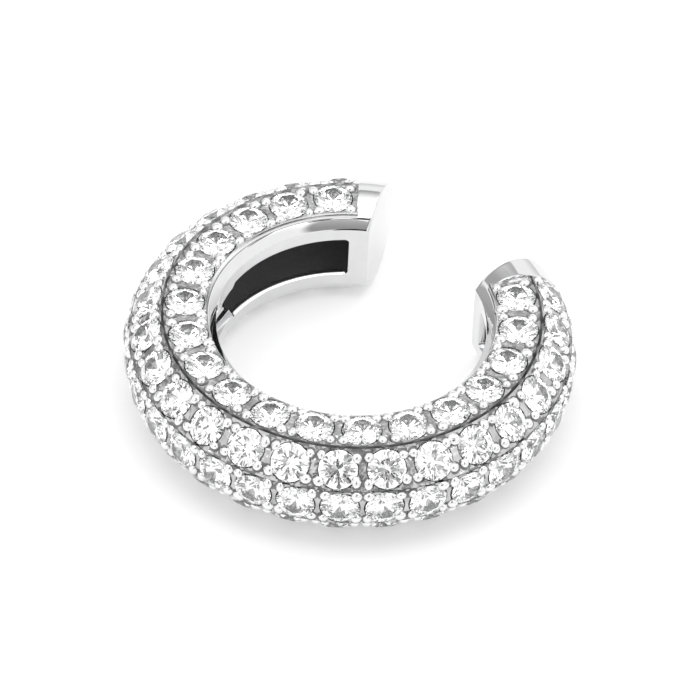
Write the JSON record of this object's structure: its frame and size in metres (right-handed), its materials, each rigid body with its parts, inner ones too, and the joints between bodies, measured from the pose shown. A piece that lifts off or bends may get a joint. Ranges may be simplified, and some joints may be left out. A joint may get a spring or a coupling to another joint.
{
  "type": "ear cuff",
  "caption": "Open ring cuff for the edge of an ear: domed outside set all over with small round clear stones, bevelled polished rims, plain polished ends and a windowed inner wall.",
  "frame": {"origin": "on the surface that the cuff lies on, under the middle of its box; the ring's own axis is parallel to Z and 0.36 mm from the origin towards +X", "axes": "+Z along the ring's axis, up from the side it lies on; +X from the ring's middle out through the middle of the gap; +Y across the gap"},
  "size_m": [0.0144, 0.015, 0.0038],
  "materials": {
    "polished_silver": "rhodium-bright polished silver, mirror smooth with faint hand-polishing waves",
    "clear_stone": "colourless round brilliant-cut stones held by small silver grains"
  },
  "bodies": {
    "root": {"cuff_body": "polished_silver", "pave_field": "clear_stone"}
  },
  "joints": []
}
